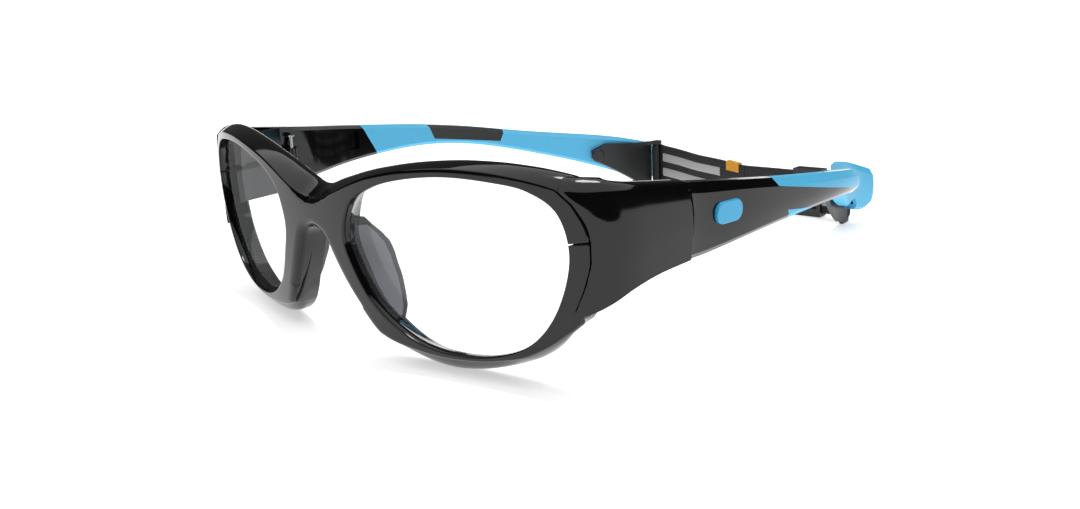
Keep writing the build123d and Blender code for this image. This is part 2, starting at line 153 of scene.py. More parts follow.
def joined(name, parts, material, merge=0.0, sharp_deg=38):
    """One smooth mesh from lists of points and faces; doubled points within merge become one."""
    points, faces = [], []
    for some_points, some_faces in parts:
        faces += [tuple(k + len(points) for k in f) for f in some_faces]
        points += some_points
    data = bpy.data.meshes.new(name)
    data.from_pydata([(x * MM, y_at(d) * MM, z * MM) for x, d, z in points], [], faces)
    data.validate()
    data.materials.append(material)
    work = bmesh.new()
    work.from_mesh(data)
    if merge:
        bmesh.ops.remove_doubles(work, verts=work.verts, dist=merge * MM)
    bmesh.ops.recalc_face_normals(work, faces=work.faces)
    work.to_mesh(data)
    work.free()
    data.polygons.foreach_set("use_smooth", [True] * len(data.polygons))
    data.set_sharp_from_angle(angle=math.radians(sharp_deg))
    obj = bpy.data.objects.new(name, data)
    bpy.context.scene.collection.objects.link(obj)
    return obj


def stand_in(obj, node, body):
    """Hide the CAD node that a piece stands for, and attach the piece to the body it moves with."""
    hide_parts(node)
    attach(obj, body)


def soften(obj, width):
    """A small bevel along the sharp edges."""
    bevel = obj.modifiers.new("edge", "BEVEL")
    bevel.width = width * MM
    bevel.segments = 3
    bevel.limit_method = "ANGLE"
    bevel.angle_limit = math.radians(40)
    return bevel


# ---- materials ---------------------------------------------------------------------------
CLOUD_SCALE, GRAIN_SCALE = 60, 900      # noise per metre: slow changes, and fine grain
GRAIN_RISE, THREAD_RISE = 0.0002, 0.00025       # m
THREAD_SHINE = 2.2        # the raised threads are lighter by this


def principled(name):
    """A new material, its node tree and its shader."""
    material = bpy.data.materials.new(name)
    material.use_nodes = True
    return material, material.node_tree, material.node_tree.nodes["Principled BSDF"]


def noise(tree, where, scale, detail=2):
    """Noise in the object's own coordinates."""
    cloud = tree.nodes.new("ShaderNodeTexNoise")
    cloud.inputs["Scale"].default_value = scale
    cloud.inputs["Detail"].default_value = detail
    tree.links.new(where.outputs["Object"], cloud.inputs["Vector"])
    return cloud.outputs["Fac"]


def spread_over(tree, value, low, high):
    """A value from 0 to 1 mapped to another range."""
    node = tree.nodes.new("ShaderNodeMapRange")
    node.inputs["To Min"].default_value = low
    node.inputs["To Max"].default_value = high
    tree.links.new(value, node.inputs["Value"])
    return node


def relief_on(tree, shader, value, strength, distance):
    """Raise the surface by a value; the distance is in metres."""
    bump = tree.nodes.new("ShaderNodeBump")
    bump.inputs["Strength"].default_value = strength
    bump.inputs["Distance"].default_value = distance
    tree.links.new(value, bump.inputs["Height"])
    tree.links.new(bump.outputs["Normal"], shader.inputs["Normal"])


def plastic(name, color, roughness=0.3, grain=0.0, spread=0.05, tint=0.06, specular=0.5):
    """A moulded surface: its roughness and colour wander slightly, and grain roughens it."""
    material, tree, shader = principled(name)
    shader.inputs["Specular IOR Level"].default_value = specular
    where = tree.nodes.new("ShaderNodeTexCoord")
    cloud = noise(tree, where, CLOUD_SCALE, 4)
    rough = spread_over(tree, cloud, max(roughness - spread, 0.02), roughness + spread)
    tree.links.new(rough.outputs["Result"], shader.inputs["Roughness"])
    shade = tree.nodes.new("ShaderNodeMix")
    shade.data_type = "RGBA"
    shade.inputs["A"].default_value = (*[c * (1 - tint) for c in color], 1)
    shade.inputs["B"].default_value = (*[min(c * (1 + tint), 1) for c in color], 1)
    tree.links.new(cloud, shade.inputs["Factor"])
    tree.links.new(shade.outputs["Result"], shader.inputs["Base Color"])
    if grain:
        relief_on(tree, shader, noise(tree, where, GRAIN_SCALE, 3), grain, GRAIN_RISE)
    return material


def metal(name, color, roughness):
    """Bare metal."""
    material = plastic(name, color, roughness=roughness)
    material.node_tree.nodes["Principled BSDF"].inputs["Metallic"].default_value = 1.0
    return material


def clear_lens():
    """Clear polycarbonate: it lets nearly everything through and mirrors a little."""
    material, tree, mirror = principled("clear_lens")
    mirror.inputs["Base Color"].default_value = (0.93, 0.95, 0.97, 1)
    mirror.inputs["Roughness"].default_value = 0.02
    mirror.inputs["Metallic"].default_value = 1.0
    through = tree.nodes.new("ShaderNodeBsdfTransparent")
    through.inputs["Color"].default_value = (0.985, 0.985, 0.98, 1)
    mix = tree.nodes.new("ShaderNodeMixShader")
    haze = noise(tree, tree.nodes.new("ShaderNodeTexCoord"), 25)
    share = spread_over(tree, haze, 0.035, 0.05)
    tree.links.new(share.outputs["Result"], mix.inputs["Fac"])
    tree.links.new(through.outputs["BSDF"], mix.inputs[1])
    tree.links.new(mirror.outputs["BSDF"], mix.inputs[2])
    tree.links.new(mix.outputs["Shader"], tree.nodes["Material Output"].inputs["Surface"])
    return material


def woven(name, color, pitch):
    """Cloth with threads both ways, pitch mm apart, in relief and in shade."""
    material = plastic(name, color, roughness=0.75)
    tree = material.node_tree
    shader = tree.nodes["Principled BSDF"]
    where = tree.nodes.new("ShaderNodeTexCoord")
    threads = tree.nodes.new("ShaderNodeMath")
    threads.operation = "MULTIPLY"
    for k, axis in enumerate("XZ"):
        thread = tree.nodes.new("ShaderNodeTexWave")
        thread.bands_direction = axis
        thread.inputs["Scale"].default_value = 2 * math.pi / (20 * pitch * MM)     # one wave a pitch
        thread.inputs["Distortion"].default_value = 0.4
        thread.inputs["Detail"].default_value = 1
        tree.links.new(where.outputs["Object"], thread.inputs["Vector"])
        tree.links.new(thread.outputs["Fac"], threads.inputs[k])
    relief_on(tree, shader, threads.outputs["Value"], 0.8, THREAD_RISE)
    base = shader.inputs["Base Color"].links[0].from_socket
    shade = tree.nodes.new("ShaderNodeMix")
    shade.data_type = "RGBA"
    shade.inputs["B"].default_value = (*[min(c * THREAD_SHINE, 1) for c in color], 1)
    tree.links.new(base, shade.inputs["A"])
    tree.links.new(threads.outputs["Value"], shade.inputs["Factor"])
    tree.links.new(shade.outputs["Result"], shader.inputs["Base Color"])
    return material


black_gloss = plastic("black_gloss", (0.0035, 0.0035, 0.0038), roughness=0.07, spread=0.02,
                      specular=0.42)
black_satin = plastic("black_satin", (0.012, 0.012, 0.013), roughness=0.38, grain=0.05)
grey_satin = plastic("grey_satin", (0.23, 0.24, 0.28), roughness=0.42, grain=0.06)
black_rubber = plastic("black_rubber", (0.02, 0.02, 0.022), roughness=0.6, grain=0.1)
blue_soft = plastic("blue_soft", (0.10, 0.55, 0.88), roughness=0.45, grain=0.04, tint=0.04)
blue_trim = plastic("blue_trim", (0.05, 0.46, 0.80), roughness=0.35, grain=0.03, tint=0.04)
grey_silicone = plastic("grey_silicone", (0.42, 0.42, 0.40), roughness=0.55, grain=0.25)
webbing = woven("webbing", (0.016, 0.016, 0.018), 0.75)
orange_ribbon = woven("orange_ribbon", (0.80, 0.30, 0.02), 0.4)
steel = metal("steel", (0.4, 0.4, 0.41), 0.25)
lens_clear = clear_lens()


# ---- front: spokes run from the lens opening out to the outline ---------------------------
OPENING = [
    (10.6, 26), (13.1, 32.5), (18.8, 36.1), (27, 38.3), (36, 39.3), (45, 38.9), (52, 37.6),
    (57.2, 33.8), (58.9, 26), (56.1, 16.4), (50.4, 9.2), (42, 5.7), (33, 5), (24.4, 6.8),
    (16.8, 12.1), (12.1, 20.1),
]
# x, z, then how far the edge slopes outwards, how deep that slope ends, how far the wall
# falls back behind it, and the radius at the edge of the face
BROW = [
    (0, 32.3, 2.2, 4.4, 0.8, 1.7), (1.7, 32.4, 2.2, 4.4, 0.8, 1.6), (3.6, 32.8, 2.2, 4.3, 0.8, 1.4),
    (6, 33.6, 2.2, 4.1, 0.9, 0.9), (9.2, 34.8, 2.0, 4.0, 0.9, 0.5), (13.8, 36.7, 1.5, 4.0, 1.0, 0.5),
    (19, 38.4, 1.1, 4.0, 1.1, 0.5), (26.8, 40, 0.9, 4.0, 1.2, 0.5), (35.6, 40.9, 0.9, 4.0, 1.2, 0.5),
    (43.6, 40.8, 1.1, 4.0, 1.3, 0.5), (50.1, 40, 1.4, 4.0, 1.3, 0.4), (54.5, 39.1, 1.6, 4.0, 1.2, 0.4),
    (57, 38.3, 1.9, 4.0, 1.0, 0.3),
]
LOWER = [
    (60.1, 14.6, 0.2, 3, 0, 0.4), (58.9, 13.4, 0.2, 3, 0, 0.4), (57.1, 11.9, 0.3, 5.5, 0, 0.4),
    (54.3, 9.6, 0.5, 5.5, 0, 0.5), (51.1, 7.6, 0.9, 5.8, 0, 0.5), (48.1, 6.2, 1.3, 6, 0, 0.5),
    (44, 5.1, 1.9, 6.2, 0, 0.6), (39.7, 4.3, 2.5, 6.5, 0, 0.6), (35.3, 3.9, 3.1, 6.5, 0, 0.6),
    (30.7, 3.8, 3.5, 6.5, 0, 0.6), (26.1, 4.1, 3.4, 6.5, 0, 0.7), (21.5, 4.6, 2.6, 6.4, 0, 0.9),
    (18.4, 5.2, 1.5, 6.0, 0, 1.1), (15.9, 6.1, 0.5, 5.5, 0, 1.3),
]
NASAL = [
    LOWER[-1], (14.4, 7.4, 0.2, 4.5, 0, 1.6), (12.8, 9.4, 0.2, 4, 0, 1.8), (11, 12, 0.1, 4, 0, 1.9),
    (9.2, 14.7, 0.1, 4, 0, 1.9), (7.6, 17.4, 0.1, 4, 0, 1.9),
    (6.2, 20, 0.1, 4, 0, 1.9), (5, 22.3, 0.1, 4, 0, 1.9), (3.8, 24.2, 0.1, 4, 0, 1.9),
    (2.1, 25.6, 0.1, 4, 0, 1.9), (0, 26.1, 0.1, 4, 0, 1.9),
]
# the side arm meets the rim along the seam, and below it the rim ends in a small horn
SEAM_LINE = [
    (57, 38.3), (58.1, 37.2), (59.4, 36), (60.5, 34.3), (61.5, 32.4), (62.1, 29.9), (62.2, 27.3),
    (62.1, 25), (61.6, 22.8), (61, 20.6), (60.2, 18.5), (59.5, 16.8),
]
HORN = [SEAM_LINE[-1], (59.9, 15.6), LOWER[0][:2]]
SEAM_EDGE = (0.0, 3.0, 0.0, 0.25)           # slope, depth, fall and radius along seam and horn
RIM_DEPTH = 6.5
RIM_THIN = 5.3                              # the wall is thinner by this at the horn
THIN_X, THIN_Z = 47, 21.5                   # it thins outwards of this X and below this height
THIN_WIDTH, THIN_DROP = 11, 3               # and is thinnest this far out and down from there
FLARE = ((6.4, 3.0), (5.4, 2.5), (4.2, 1.8), (3.2, 1.2), (2.3, 0.6))    # depth, then how wide
LIP_WALL = (1.5, 0.8, 0.35)                 # depths down the wall in front of the lens
LIP_R = 0.35
LIP_STEPS = (0, 0.12, 0.3, 0.6, 1.0, 1.5)   # distances from the opening
EDGE_STEPS = (0, 0.08, 0.2, 0.38, 0.6, 0.9, 1.3, 1.9)                   # and from the outline
FACE_STEPS = 7                              # and this many even steps between them
SLOPE_STEPS = (0.06, 0.15, 0.3, 0.5, 0.75, 1.0)     # shares of the way down the sloping edge
FALL_STEPS = (0.25, 0.55, 0.8, 1.0)         # and down the wall behind it
REAR_STEPS = ((0.75, 0.1), (0.5, 0.4), (0.25, 0.75), (0.06, 1.0))       # way in, and rise
EDGE_SPACING, SEAM_SPACING = 0.45, 0.4
SLOPED_ROUND = 0.55                         # above a sloping edge the face rounds off by this share
SLIT_X, SLIT_Z = 62.13, 29.2                # where the slit for the lens crosses the seam
SLIT_HALF, SLIT_SHOULDER = 0.17, 0.24
WALL_SUNK, FACE_SUNK = 1.2, 1.6             # how far the slit's bottom lies behind wall and face
BRIDGE_X, BRIDGE_Z = 9, 30                  # the bridge's top edge lies within these
MIDDLE = [(0.0, 26.4 + 0.3 * k) for k in range(18)]     # up the middle of the bridge
EAR = [(57.6, 16.5), (59.4, 31.0), (62.4, 31.0), (61.6, 15.0)]
EAR_HEIGHTS = ((20.5, 28.4), (30.0, 37.0))


def rim_depth(x, z):
    """How deep the rim's outer wall is: it thins towards the horn under the side arm."""
    if z > THIN_Z or x < THIN_X:
        return RIM_DEPTH
    thin = min(1, (x - THIN_X) / THIN_WIDTH) ** 1.3 * min(1, (THIN_Z - z) / THIN_DROP)
    return RIM_DEPTH - RIM_THIN * thin


def edge_line():
    """The half outline, from the middle of the brow round to the top of the nose arch."""
    before = [(-BROW[1][0], *BROW[1][1:])]
    brow = resample(catmull(before + BROW, 12)[12:], EDGE_SPACING)
    seam = resample(catmull([(*p, *SEAM_EDGE) for p in SEAM_LINE], 10), SEAM_SPACING)
    horn = resample([(*p, *SEAM_EDGE) for p in HORN], SEAM_SPACING)
    lower = resample(catmull(LOWER, 10), EDGE_SPACING)
    after = [(-NASAL[-2][0], *NASAL[-2][1:])]
    nasal = resample(catmull(NASAL + after, 12)[:-12], SEAM_SPACING)
    cuts = [SLIT_Z + z for z in (SLIT_SHOULDER, SLIT_HALF, -SLIT_HALF, -SLIT_SHOULDER)]
    at = next(k for k, p in enumerate(seam) if p[1] < cuts[0])
    slit = [(SLIT_X, z, *SEAM_EDGE) for z in cuts]
    seam = seam[:at] + slit + [p for p in seam[at:] if p[1] < cuts[-1]]
    return brow + seam[1:] + horn[1:] + lower[1:] + nasal[1:]


def face_dip(edge, x, z, inset):
    """How far the face falls back: it has a rounded lip at the opening and a rounded edge."""
    inner = max(0.0, LIP_R - inset)
    dip = LIP_R - math.sqrt(max(LIP_R**2 - inner**2, 0))
    foot = edge[nearest(edge, x, z)]
    gap = math.hypot(foot[0] - x, foot[1] - z)
    radius = foot[5]
    if gap < radius:
        turn = (radius - gap) / radius
        steep = SLOPED_ROUND if foot[2] > 0.15 else 1.0
        dip += radius * steep * (1 - math.sqrt(max(1 - turn * turn * 0.98, 0)))
    return dip


def wall_points(edge, n, top):
    """Points down the outer wall, which slopes outwards and then falls back behind."""
    x, z, slope, deep, fall, _ = edge[n]
    ox, oz = outward(edge, n)
    if abs(x) < BRIDGE_X and z > BRIDGE_Z:
        ox *= abs(x) / BRIDGE_X       # across the bridge the edge slopes straight up
    if n in (0, len(edge) - 1):
        ox, oz = 0.0, math.copysign(1, oz)
    rim = rim_depth(x, z)
    deep = min(deep, rim * 0.7)
    steps = [(slope * (1 - (1 - q) ** 1.5), top + (deep - top) * q) for q in SLOPE_STEPS]
    steps += [(slope - fall * q * q, deep + (rim - deep) * q) for q in FALL_STEPS]
    steps.append((slope - fall - 0.3, rim + 0.1))
    return [(x + ox * out, wrap(x, z) + d, z + oz * out) for out, d in steps]


def spoke(loop, edge, foot, n):
    """A closed ring: the flared opening, the face out to the foot, the outer wall and the back."""
    outer = n < len(edge)
    start = loop[nearest(loop, foot[0], foot[1])]
    span = math.hypot(foot[0] - start[0], foot[1] - start[1])
    ux, uz = (foot[0] - start[0]) / span, (foot[1] - start[1]) / span

    def along(s):
        return start[0] + ux * s, start[1] + uz * s

    widest = span + (max(foot[2] - foot[4], 0) * 0.6 - 1.0 if outer else 3.0)
    flare = [(deep, max(0.0, min(out, widest))) for deep, out in FLARE]
    ring = []
    for deep, out in flare + [(deep, 0.0) for deep in LIP_WALL]:
        x, z = along(out)
        ring.append((x, wrap(x, z) + deep, z))
    walls = len(ring)
    half = span * 0.45
    near = [s * min(1, half / LIP_STEPS[-1]) for s in LIP_STEPS]
    far = [span - s * min(1, half / EDGE_STEPS[-1]) for s in reversed(EDGE_STEPS)]
    between = [near[-1] + (far[0] - near[-1]) * k / FACE_STEPS for k in range(1, FACE_STEPS)]
    for s in near + between + far:
        x, z = along(s)
        ring.append((x, wrap(x, z) + face_dip(edge, x, z, s), z))
    if abs(foot[0] - SLIT_X) < 1e-6 and abs(foot[1] - SLIT_Z) < SLIT_HALF + 0.03:
        sunk = [WALL_SUNK] * walls + [FACE_SUNK] * (len(ring) - walls)
        ring = [(x, d + more, z) for (x, d, z), more in zip(ring, sunk)]
    if outer:
        ring += wall_points(edge, n, ring[-1][1] - wrap(foot[0], foot[1]))
    else:
        x, d, z = ring[-1]
        ring += [(x, d, z)] * (len(SLOPE_STEPS) + len(FALL_STEPS))
        ring.append((x, wrap(x, z) + RIM_DEPTH + 0.1, z))
    rim = rim_depth(foot[0], foot[1])
    x, _, z = ring[-1]
    lip = along(flare[0][1])
    for q, rise in REAR_STEPS:
        rx, rz = lip[0] + (x - lip[0]) * q, lip[1] + (z - lip[1]) * q
        ring.append((rx, wrap(rx, rz) + rim + (RIM_DEPTH - rim) * rise + 0.05, rz))
    return ring


def front_half():
    """Points and faces of half the front, without the faces that lie in the middle plane."""
    loop = resample(catmull(OPENING, 60, closed=True) + [OPENING[0]], count=1601)[:-1]
    edge = edge_line()
    rings = [spoke(loop, edge, foot, n) for n, foot in enumerate(edge + MIDDLE)]
    points = [p for ring in rings for p in ring]
    wide = len(rings[0])
    faces = []
    for a in range(len(rings)):
        b = (a + 1) % len(rings)
        for k in range(wide):
            after = (k + 1) % wide
            quad = (a * wide + k, a * wide + after, b * wide + after, b * wide + k)
            if any(abs(points[v][0]) > 1e-6 for v in quad):
                faces.append(quad)
    return points, faces


half_front = front_half()
shell = joined("front_shell", [flipped(*half_front, side) for _, side in SIDES], black_gloss,
               merge=0.004)
ears = joined("ears", [flipped(*prism(EAR, *heights), side)
                       for _, side in SIDES for heights in EAR_HEIGHTS], black_gloss)
for obj in (shell, ears):
    stand_in(obj, "frame_front", "front")

# ---- lenses ------------------------------------------------------------------------------
LENS_RINGS = 14
LENS_CENTRE = (34.5, 22.5)
LENS_FACES = ((1.55, 0.25), (3.7, 1.15))    # depth, then how far the face reaches into the rim


def lens_shape():
    """Rings out over the front face of the lens and back in over its rear face."""
    loop = resample(catmull(OPENING, 30, closed=True) + [OPENING[0]], count=161)[:-1]
    cx, cz = LENS_CENTRE
    sides = []
    for back, grow in LENS_FACES:
        edge = []
        for i, (x, z) in enumerate(loop):
            nx, nz = outward(loop, i, closed=True)
            edge.append((x + nx * grow, z + nz * grow))
        rings = []
        for k in range(1, LENS_RINGS + 1):
            s = k / LENS_RINGS
            ring = [(cx + (x - cx) * s, cz + (z - cz) * s) for x, z in edge]
            rings.append([(x, wrap(x, z) + back, z) for x, z in ring])
        sides.append(rings)
    return skin(sides[0] + sides[1][::-1])


left_lens = lens_shape()
for label, side in SIDES:
    lens = joined(f"lens_{label}_clear", [flipped(*left_lens, side)], lens_clear)
    stand_in(lens, f"lens_{label}", "front")

# ---- nose pads: soft flaps that run back from the nasal side of each rim -------------------
PAD_LINE = [(14.7, 5.9), (12.7, 8.6), (10.5, 11.9), (9.0, 14.5), (7.5, 17.1), (6.4, 19.5), (5.5, 22),
            (5.2, 25), (5.3, 28.0)]
PAD_REAR = [      # height, then the X and the depth of the rear edge
    (5.9, 17.2, 8.6), (7, 16.9, 9.5), (8, 16.5, 10.2), (10, 15.5, 10.8), (12, 14.5, 11.2),
    (14, 13.5, 11.4), (16, 12.5, 11.5), (18, 11.9, 11.3), (20, 11.1, 11.0), (22, 10.1, 10.6),
    (24, 9.1, 10.1), (26, 7.9, 9.0), (28.6, 6.6, 7.2),
]
PAD_FRONT = 3.72          # depth at which pad and carrier leave the rim
PAD_T = 1.9
PAD_HEIGHTS = (0, 30)
CARRIER_T = 0.5
CARRIER_SUNK = 0.3        # the carrier lies this far inside the pad's outer face
CARRIER_SHORT = 1.2       # and ends this far before the pad's rear edge
CARRIER_HEIGHTS = (6.6, 26.5)


def flap(inside, thickness, short, heights, rounded):
    """A flap along the nose side of the rim that bends away from the nose as it runs back.

    It lies this far inside the rim's line and ends this short of the rear edge, which can be round.
    """
    line = [p for p in resample(catmull(PAD_LINE, 10), count=49) if heights[0] <= p[1] <= heights[1]]
    half = thickness / 2
    steps = [k / 8 for k in range(9)]
    rings = []
    for i, (x, z) in enumerate(line):
        nx, nz = outward(line, i)
        nx, nz = (-nx, -nz) if nx < 0 else (nx, nz)
        rear_x, back = table(PAD_REAR, z)
        reach = max((rear_x - x) * nx, 0)
        end = min(i, len(line) - 1 - i)
        pinch = 1 - 0.55 * max(0.0, 1 - end / 4) ** 2 if rounded else 1
        tip = back - (half if rounded else short)
        run = [PAD_FRONT + (tip - PAD_FRONT) * q for q in steps]
        shape = [(d, 1) for d in run]
        if rounded:
            turns = [math.pi * k / 8 for k in range(1, 8)]
            shape += [(tip + half * math.sin(turn), math.cos(turn)) for turn in turns]
        shape += [(d, -1) for d in reversed(run)]
        ring = []
        for d, face in shape:
            q = max(0.0, (d - PAD_FRONT) / (back - PAD_FRONT))
            off = inside + reach * q ** 1.7 + half * (1 + face * pinch)
            ring.append((x + nx * off, d, z + nz * off))
        rings.append(ring)
    return skin(rings)


left_pad = flap(0, PAD_T, 0, PAD_HEIGHTS, True)
left_carrier = flap(PAD_T - CARRIER_SUNK, CARRIER_T, CARRIER_SHORT, CARRIER_HEIGHTS, False)
for label, side in SIDES:
    pad = joined(f"pad_{label}", [flipped(*left_pad, side)], black_rubber, sharp_deg=60)
    stand_in(pad, f"nose_pad_{label}", "front")
    carrier = joined(f"pad_carrier_{label}", [flipped(*left_carrier, side)], grey_satin, sharp_deg=50)
    stand_in(carrier, f"nose_pad_carrier_{label}", "front")

# ---- side arms: from the seam at the rim round the corner to the hinge ----------------------
ARM_PLAN = [(56.0, 11.75), (57, 12.25), (59.6, 13.3), (62.3, 14.8), (65, 17.4), (66.5, 21.6),
            (67.2, 28), (67.9, 38)]
# the next four start with a depth: heights of crest and foot, thickness, bevel's rise and run
ARM_CREST = [(11, 40.2), (12.2, 40.1), (14.7, 39.8), (17.4, 39.4), (20.5, 38.8), (28, 37.6), (38, 36.2)]
ARM_FOOT = [(11, 14.7), (13.3, 15.6), (15.2, 16.8), (17.4, 18.3), (21.6, 20.3), (28, 21.6), (38, 22.3)]
ARM_T = [(11, 3.6), (17.4, 4.2), (25, 4.6), (38, 4.5)]
ARM_BEVEL = [(11, 2.1, 3.2), (14.7, 1.9, 2.6), (20, 1.5, 1.8), (28, 1.3, 1.4), (38, 1.2, 1.1)]
ARM_SEAM = [(56.9, 41.4), (56.95, 40)] + SEAM_LINE + [(59.4, 16.4), (59.2, 15.6)]
SEAM_GAP = 0.28
HINGE_DEPTH = 35.3
HINGE_BULGE = 1.4         # the rear end bulges back by this at its middle height
HINGE_MID_Z = 30
HINGE_GAP = 0.2
ARM_ROWS, ARM_COLUMNS = 45, 30
CROWN, CROWN_FROM = 0.55, 0.35       # the upper part swells out
ARM_LEAN, LEAN_FROM = 2.3, 0.34      # and leans in towards its top
LEAN_RAMP, LEAN_FADE = 0.3, 0.4      # the lean grows over this share, and this much is lost later


def arm_height(crest, foot, depth, level):
    """Height on the outer face at a level, from 0 at the foot to 1 under the bevel."""
    low, high = table(foot, depth)[0], table(crest, depth)[0] - table(ARM_BEVEL, depth)[0]
    return low + (high - low) * level


def arm_ends(plan, crest, foot, levels):
    """Where each level starts at the seam and ends at the hinge, as places along the plan."""
    seam = []
    for x, z in catmull(ARM_SEAM, 16):
        k = min(range(len(plan)), key=lambda j: abs(plan[j][0] - x))
        low, high = (arm_height(crest, foot, plan[k][1], level) for level in (0, 1))
        seam.append(((z - low) / (high - low), float(k)))
    seam.sort()
    gap = SEAM_GAP / math.dist(plan[100], plan[101])
    ends = []
    for level in levels:
        for k in reversed(range(len(plan))):
            across = (arm_height(crest, foot, plan[k][1], level) - HINGE_MID_Z) / 10
            if plan[k][1] <= HINGE_DEPTH + HINGE_BULGE * (1 - across**2) - HINGE_GAP:
                break
        ends.append((table(seam, level)[0] + gap, k))
    return ends


def arm_swell(level, t):
    """How far the outer face stands out from the plan; t runs from the seam to the hinge."""
    crown = 0.0
    if level > CROWN_FROM:
        crown = CROWN * math.sin(math.pi / 2 * min(1, t * 2)) * 4 * (level - CROWN_FROM) * (1 - level)
    ramp = min(1, t / LEAN_RAMP)
    ramp *= ramp * (3 - 2 * ramp)
    return crown - ARM_LEAN * ramp * (1 - LEAN_FADE * t) * max(0, level - LEAN_FROM) ** 1.15


def arm_shape():
    """Sections across the arm, each a closed ring: outer face, bevel along the top, inner face."""
    plan = resample(catmull(ARM_PLAN, 14), count=241)
    crest, foot = catmull(ARM_CREST, 8), catmull(ARM_FOOT, 8)
    levels = [k / ARM_ROWS for k in range(ARM_ROWS + 1)]
    ends = arm_ends(plan, crest, foot, levels)
    rings = []
    for c in range(ARM_COLUMNS + 1):
        t = c / ARM_COLUMNS
        outer = []
        for level, (first, last) in zip(levels, ends):
            at = first + (last - first) * t
            k = min(int(at), len(plan) - 2)
            a, b = plan[k], plan[k + 1]
            x, d = (p + (q - p) * (at - k) for p, q in zip(a, b))
            span = math.dist(a, b)
            nx, nd = (b[1] - a[1]) / span, (a[0] - b[0]) / span
            out = arm_swell(level, t)
            outer.append((x + nx * out, d + nd * out, arm_height(crest, foot, d, level)))
        rise, run = table(ARM_BEVEL, d)
        thick = table(ARM_T, d)[0]
        tx, td, tz = outer[-1]
        ring = list(outer)
        for q in (0.15, 0.4, 0.7, 1.0):
            ring.append((tx - nx * run * q, td - nd * run * q, tz + rise * (1 - (1 - q) ** 1.7)))
        inset = max(thick, run + 0.4)
        ring.append((tx - nx * inset, td - nd * inset, ring[-1][2] - 0.15))
        for x, d, z in outer[ARM_ROWS - 5::-5]:         # down the inner face in coarser rows
            ring.append((x - nx * thick, d - nd * thick, max(z, outer[0][2] + 0.3)))
        rings.append(ring)
    return skin(rings)


left_arm = arm_shape()
for label, side in SIDES:
    arm = joined(f"arm_{label}", [flipped(*left_arm, side)], black_gloss, sharp_deg=33)
    stand_in(arm, f"side_arm_{label}", "front")
    soften(arm, 0.22)

# ---- strap: woven bands that hang between the temple tips, each folded round its bar ---------
STRAP_X, STRAP_DEPTH = 33.4, 152.4      # the bar
STRAP_MID_Z, STRAP_GAP, STRAP_W, STRAP_T = 6.43, 1.3, 12.0, 1.3
STRAP_END = 0.12          # the two halves meet here, with a hairline between them
STRAP_END_Z = {"left": 7.4, "right": 10.0}
STRAP_WAVE = {"left": 0.06, "right": 0.5}
STRAP_STILL = 3           # the waves end this far before the bar
BAND_DEPTH = 153.0
BAND_FLAT_X = 30.6        # the flat run ends here
BAND_STEPS = 60
SLEEVE_R = 1.28           # middle line of the turn round the bar
SLEEVE_HALF = 0.5         # half the band's thickness there
SLEEVE_FROM, SLEEVE_STEP, SLEEVE_STEPS = 118, 21, 12    # degrees
STRIPE_LOWS = (-3.7, 1.0)               # from the band's middle line
STRIPE_ENDS = (9, 31.0)
STRIPE_STEPS = 60
STRIPE_FORM = ((0.05, 0), (-0.15, 0.1), (-0.25, 0.5), (-0.28, 1.35), (-0.25, 2.2), (-0.15, 2.6),
               (0.05, 2.7))             # depth from the band's face, and height


def strap_height(label, x):
    """Height of the middle of the band."""
    along = max(min(x, STRAP_X) - STRAP_GAP, 0) / (STRAP_X - STRAP_GAP)
    return STRAP_MID_Z + (STRAP_END_Z[label] - STRAP_MID_Z) * along


def strap_bow(label, x, across):
    """How far the band lies behind its straight line; across runs from -1 to 1 over its width."""
    along = min(max((x - STRAP_GAP) / (STRAP_X - STRAP_STILL - STRAP_GAP), 0), 1)
    wave = math.sin(math.pi * along) ** 2
    return STRAP_WAVE[label] * wave * (math.sin(2.6 * math.pi * along) - 0.7 * across)


def strap_path():
    """Middle line of the band: a flat run, then a turn round the bar."""
    path = [(STRAP_END + (BAND_FLAT_X - STRAP_END) * k / BAND_STEPS, BAND_DEPTH)
            for k in range(BAND_STEPS + 1)]
    for k in range(SLEEVE_STEPS + 1):
        turn = math.radians(SLEEVE_FROM - SLEEVE_STEP * k)
        path.append((STRAP_X + SLEEVE_R * math.cos(turn), STRAP_DEPTH + SLEEVE_R * math.sin(turn)))
    return path


def strap_band(label):
    """The band as a closed skin, thinner along its two edges."""
    path = strap_path()
    rings = []
    for i, (x, d) in enumerate(path):
        nx, nd = outward(path, i)
        half = STRAP_T / 2 if i <= BAND_STEPS else SLEEVE_HALF
        ring = []
        for face, rows in ((1, range(-8, 9)), (-1, range(8, -9, -1))):
            for across in (row / 8 for row in rows):
                out = face * half * (1 - 0.5 * max(0, abs(across) - 0.875) / 0.125)
                bow = strap_bow(label, x, across) if i <= BAND_STEPS else 0
                z = strap_height(label, x) + across * STRAP_W / 2
                ring.append((x + nx * out, d + nd * out + bow, z))
        rings.append(ring)
    return skin(rings)


def strap_stripe(label, low):
    """A raised stripe on the face that lies against the head."""
    start, end = STRIPE_ENDS
    rings = []
    for k in range(STRIPE_STEPS + 1):
        x = start + (end - start) * k / STRIPE_STEPS
        ring = []
        for out, up in STRIPE_FORM:
            z = low + up
            bow = strap_bow(label, x, z / (STRAP_W / 2))
            ring.append((x, BAND_DEPTH - STRAP_T / 2 + out + bow, strap_height(label, x) + z))
        rings.append(ring)
    return skin(rings)


for label, side in SIDES:
    band = joined(f"band_{label}", [flipped(*strap_band(label), side)], webbing, sharp_deg=50)
    stand_in(band, f"strap_{label}", f"strap_half_{label}")
    stripes = [flipped(*strap_stripe(label, low), side) for low in STRIPE_LOWS]
    grip = joined(f"stripes_{label}", stripes, grey_silicone, sharp_deg=50)
    stand_in(grip, f"grip_stripes_{label}", f"strap_half_{label}")

